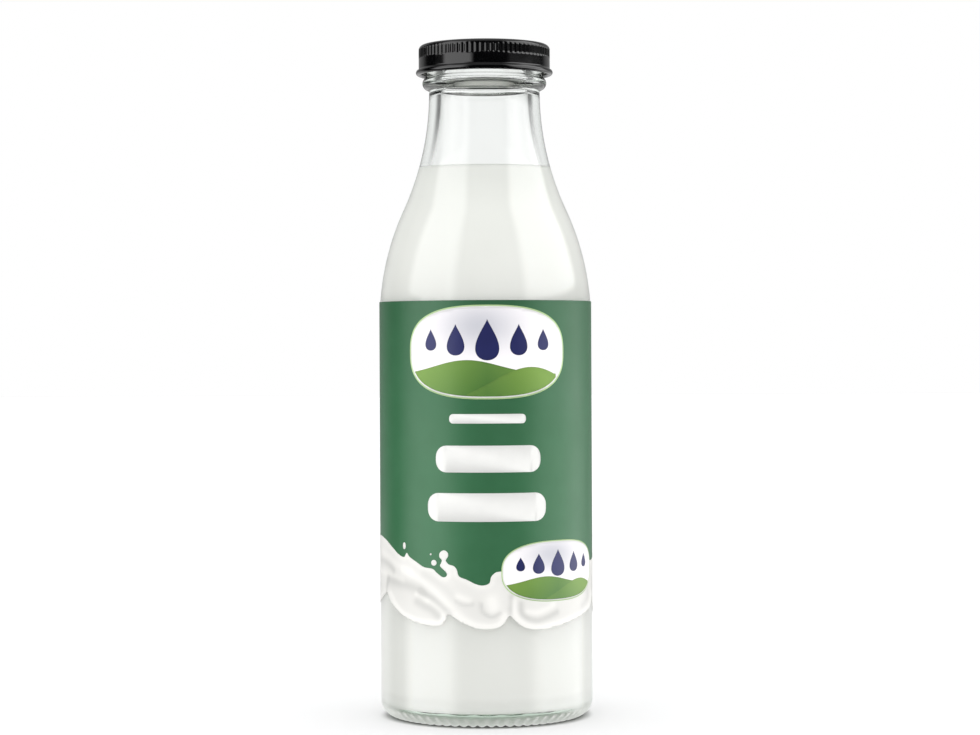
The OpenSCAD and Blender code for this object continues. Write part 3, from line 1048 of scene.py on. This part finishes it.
# %% Wrap the plaques
def paint_shade(piece, rule):
    shade = piece.data.attributes.new("shade", "FLOAT", "POINT")
    for i, vert in enumerate(piece.data.vertices):
        shade.data[i].value = max(0.0, min(1.0, rule(vert.co.x / MM, vert.co.y / MM)))


def plaque_share(u, v):
    """How far a point is across and up its own plaque, each from -1 to 1."""
    cu, cv, wide, tall = PLAQUES[0] if v > 100 else PLAQUES[1]
    return (u - cu) / wide, (v - cv) / tall


def silver(u, v):
    across, up = plaque_share(u, v)
    return 0.92 - 0.75 * math.exp(-((across + 0.1) / 0.5) ** 2 - ((up - 0.55) / 0.55) ** 2)


def leaf_light(u, v):
    across, up = plaque_share(u, v)
    return 0.35 + 0.9 * (abs(across) - 0.25) + 0.55 * (up + 0.55)


def near_leaf_light(u, v):
    return leaf_light(u, v) + 0.25


# All print starts inside the sleeve's film, and each later part stands a little higher
PRINT_LAYER = 0.06
for name, shapes, film, material, slot, rule in (
        ("plaque_rims", rims, 0.20, PALE_LIME_INK, "print_lime", None),
        ("plaque_rings", rings, 0.22, WHITE_INK, "print_white", None),
        ("plaque_fields", fields, 0.24, SILVER_INK, "print_white", silver),
        ("plaque_hills", hills, 0.26, LIME_INK, "print_lime", leaf_light),
        ("plaque_near_hills", near_hills, 0.28, LIME_INK, "print_lime", near_leaf_light),
        ("plaque_drops", drops, 0.28, BLUE_INK, "print_blue", None)):
    piece = flat_mesh(name, shapes, PRINT_LAYER, PRINT_STEP, PRINT_STEP if rule else None)
    if rule:
        paint_shade(piece, rule)
    wrap(piece, film, material)

# %% [markdown]
# ## Bars of print
# Where a label carries its wording, this one carries plain bars of the same weight: one slim and two
# bold, centred under the plaque.

# %% Bars
# Each bar: its middle along and up, its length and its height
BARS = [(0.75, 110.9, 28.0, 3.4), (1.0, 96.5, 39.0, 9.6), (0.4, 79.2, 44.6, 10.2)]
CORNER_SHARE = 0.42
BAR_FILM = 0.06
bar_shapes = [bar(u, v, length, height, height * CORNER_SHARE) for u, v, length, height in BARS]
bars = flat_mesh("print_bars", bar_shapes, PRINT_LAYER, PRINT_STEP)
wrap(bars, BAR_FILM, WHITE_INK)

# %% [markdown]
# ## Light
# The studio is a white sweep behind the bottle, a tall soft box on each side, and darkness round the
# camera. The dark gap is what keeps the lacquer black and draws the grey bands down the cap and the
# glass. A grey stripe at each side, seen through the glass, draws its edges. All of it is painted on
# the surroundings by direction, with the light path choosing: mirrors and clear glass meet the boxes
# and the gaps, while dull surfaces meet a broad, even softness.

# %% Helpers for the surroundings
world = bpy.data.worlds.new("studio")
bpy.context.scene.world = world
world.use_nodes = True
STUDIO = world.node_tree
STUDIO.nodes.clear()


def step_up(value, at, soft):
    return node(STUDIO, "ShaderNodeMapRange", [(0, value), (1, at - soft), (2, at + soft)],
                interpolation_type="SMOOTHSTEP").outputs[0]


def band(value, low, high, soft):
    return maths(STUDIO, "SUBTRACT", step_up(value, low, soft), step_up(value, high, soft))


def times(first, second):
    return maths(STUDIO, "MULTIPLY", first, second)


def total(*values):
    summed = values[0]
    for value in values[1:]:
        summed = maths(STUDIO, "ADD", summed, value)
    return summed


def choose(factor, otherwise, value):
    """value where factor is 1, otherwise the other."""
    mix = STUDIO.nodes.new("ShaderNodeMix")
    STUDIO.links.new(factor, mix.inputs["Factor"])
    for socket, source in ((mix.inputs["A"], otherwise), (mix.inputs["B"], value)):
        if isinstance(source, bpy.types.NodeSocket):
            STUDIO.links.new(source, socket)
        else:
            socket.default_value = source
    return mix.outputs["Result"]


print("surroundings helpers ready")

# %% Directions and strengths of the light
# Each band: its two ends in degrees, round the bottle or up from level, and the softness of both
BELOW_LEVEL, ABOVE_LEVEL, AT_CAP = (-30.0, 2.0, 4.0), (2.0, 55.0, 4.0), (4.0, 9.0, 1.5)
LEFT_BELOW, LEFT_ABOVE, LEFT_AT_CAP = (-94.0, -36.0, 12.0), (-92.0, -34.0, 8.0), (-75.0, -22.0, 5.0)
RIGHT_BELOW, RIGHT_ABOVE, RIGHT_AT_CAP = (54.0, 126.0, 14.0), (46.0, 120.0, 8.0), (44.0, 92.0, 5.0)
FRONT_STRIPE, BACK_STRIPE, SIDE_SHADE = (52.0, 76.0, 6.0), (104.0, 140.0, 10.0), (64.0, 122.0, 8.0)
# Each edge: where it is in degrees, and its softness
SWEEP_EDGE, OVERHEAD_EDGE, STEEP_EDGE = (128.0, 12.0), (55.0, 20.0), (16.0, 6.0)
GROUND_EDGE, DOWNWARD_EDGE = (5.2, 1.4), (25.0, 10.0)
# Strengths met by mirrors
LEFT_BOX, LOW_LEFT, RIGHT_BOX, GAP, SWEEP, LOW_SWEEP = 2.5, 1.35, 3.1, 0.055, 0.36, 0.5
MIRRORED_OVERHEAD, DARKEST = 0.6, 0.003
# Strengths met through clear glass
SIDE_GREY, SHADE_DEPTH, STEEP_WHITE, BELOW, UNDER = 0.22, 0.25, 0.85, 0.66, 0.85
# Strengths met by dull surfaces
SOFT, OVERHEAD = 1.44, 0.4
print("left box", LEFT_BOX, "right box", RIGHT_BOX, "soft light", SOFT)


# %% The surroundings
def build_surroundings():
    direction = STUDIO.nodes.new("ShaderNodeTexCoord").outputs["Generated"]
    x, y, z = node(STUDIO, "ShaderNodeSeparateXYZ", [(0, direction)]).outputs
    azimuth = times(maths(STUDIO, "ARCTAN2", x, times(y, -1.0)), 180 / math.pi)
    aside = maths(STUDIO, "ABSOLUTE", azimuth)
    height = times(maths(STUDIO, "ARCSINE", z), 180 / math.pi)
    depth = times(height, -1.0)
    below_level, at_cap = band(height, *BELOW_LEVEL), band(height, *AT_CAP)
    off_cap = times(band(height, *ABOVE_LEVEL), total(1.0, times(at_cap, -1.0)))
    left_box = total(times(band(azimuth, *LEFT_BELOW), times(below_level, LOW_LEFT)),
                     times(band(azimuth, *LEFT_ABOVE), off_cap),
                     times(band(azimuth, *LEFT_AT_CAP), at_cap))
    right_box = total(times(band(azimuth, *RIGHT_BELOW), below_level),
                      times(band(azimuth, *RIGHT_ABOVE), off_cap),
                      times(band(azimuth, *RIGHT_AT_CAP), times(at_cap, GAP)))
    behind = step_up(aside, *SWEEP_EDGE)
    sweep = times(behind, SWEEP)
    low_sweep = times(behind, times(step_up(depth, *GROUND_EDGE), LOW_SWEEP))
    overhead = step_up(height, *OVERHEAD_EDGE)
    mirrored = total(times(left_box, LEFT_BOX), times(right_box, RIGHT_BOX), sweep, low_sweep,
                     times(overhead, MIRRORED_OVERHEAD), DARKEST)
    stripes = total(band(aside, *FRONT_STRIPE), band(aside, *BACK_STRIPE))
    level = total(1.0, times(stripes, SIDE_GREY - 1.0))
    level = times(level, total(1.0, times(band(aside, *SIDE_SHADE), -SHADE_DEPTH)))
    steep = times(step_up(height, *STEEP_EDGE), STEEP_WHITE)
    around = total(level, times(steep, total(1.0, times(level, -1.0))))
    downward = step_up(depth, *DOWNWARD_EDGE)
    through = times(around, total(1.0, times(downward, BELOW - 1.0)))
    soft = total(times(overhead, OVERHEAD), SOFT)
    soft_through = times(soft, total(1.0, times(downward, UNDER - 1.0)))
    path = STUDIO.nodes.new("ShaderNodeLightPath").outputs
    first = maths(STUDIO, "LESS_THAN", path["Diffuse Depth"], 0.5)
    seen = choose(times(path["Is Glossy Ray"], first), soft, mirrored)
    inside = choose(first, soft_through, through)
    seen = choose(path["Is Transmission Ray"], seen, inside)
    seen = choose(path["Is Camera Ray"], seen, 1.0)
    background = node(STUDIO, "ShaderNodeBackground", [(0, (1.0, 1.0, 1.0, 1.0)), (1, seen)])
    output = STUDIO.nodes.new("ShaderNodeOutputWorld")
    STUDIO.links.new(background.outputs[0], output.inputs["Surface"])


build_surroundings()
print("surroundings have", len(STUDIO.nodes), "nodes")

# %% [markdown]
# ## Floor
# The floor is a plain pale sheet, far wider than the view. Where the heel curves away from it, no
# light gets in between, so a painted shadow round the foot darkens the floor's colour there. Glass
# and lacquer don't meet the floor itself: for them the surroundings already hold what comes from below.

# %% Floor
# The painted shadow round the foot runs between these two radii
PAINTED_SHADOW_FROM, PAINTED_SHADOW_TO = BODY_R - 5.5 * MM, BODY_R + 1.0 * MM
# A dark grey painted in as the shadow at the foot, and the floor's own pale grey
PAINTED_SHADOW_GREY, PALE_GREY = (0.10, 0.105, 0.10), (0.71, 0.71, 0.715)
FLOOR_HALF = 6.0


def floor_material():
    material, tree, shader = start_material("pale_floor")
    place = tree.nodes.new("ShaderNodeTexCoord").outputs["Object"]
    away = node(tree, "ShaderNodeVectorMath", [(0, place)], operation="LENGTH").outputs["Value"]
    # Painted shadow: the floor's colour goes from dark grey at the foot to its own pale grey further out
    painted_shadow = node(tree, "ShaderNodeMapRange", [(0, away), (1, PAINTED_SHADOW_FROM), (2, PAINTED_SHADOW_TO)],
                   interpolation_type="SMOOTHSTEP").outputs[0]
    tree.links.new(blend_colours(tree, painted_shadow, PAINTED_SHADOW_GREY, PALE_GREY), shader.inputs["Base Color"])
    tree.links.new(mottle(tree, scale=40.0, low=0.85, high=0.95), shader.inputs["Roughness"])
    shader.inputs["Specular IOR Level"].default_value = 0.1
    return material


floor = new_piece("floor", [(-FLOOR_HALF, -FLOOR_HALF, 0), (FLOOR_HALF, -FLOOR_HALF, 0),
                            (FLOOR_HALF, FLOOR_HALF, 0), (-FLOOR_HALF, FLOOR_HALF, 0)],
                  faces=[(0, 1, 2, 3)])
floor.data.materials.append(floor_material())
floor.visible_glossy = False
floor.visible_transmission = False
print("floor is", 2 * FLOOR_HALF, "m wide")

# %% [markdown]
# ## View and light paths
# Light goes through many surfaces of glass before it reaches the milk or leaves the neck, so its
# paths may be long. The plain view shows the colours as they are mixed.

# %% View and light paths
GLASS_BOUNCES = 16
scene = bpy.context.scene
scene.view_settings.view_transform = "Standard"
scene.cycles.max_bounces = GLASS_BOUNCES
scene.cycles.transmission_bounces = GLASS_BOUNCES
scene.cycles.use_denoising = True
print("light paths of up to", scene.cycles.max_bounces, "bounces")
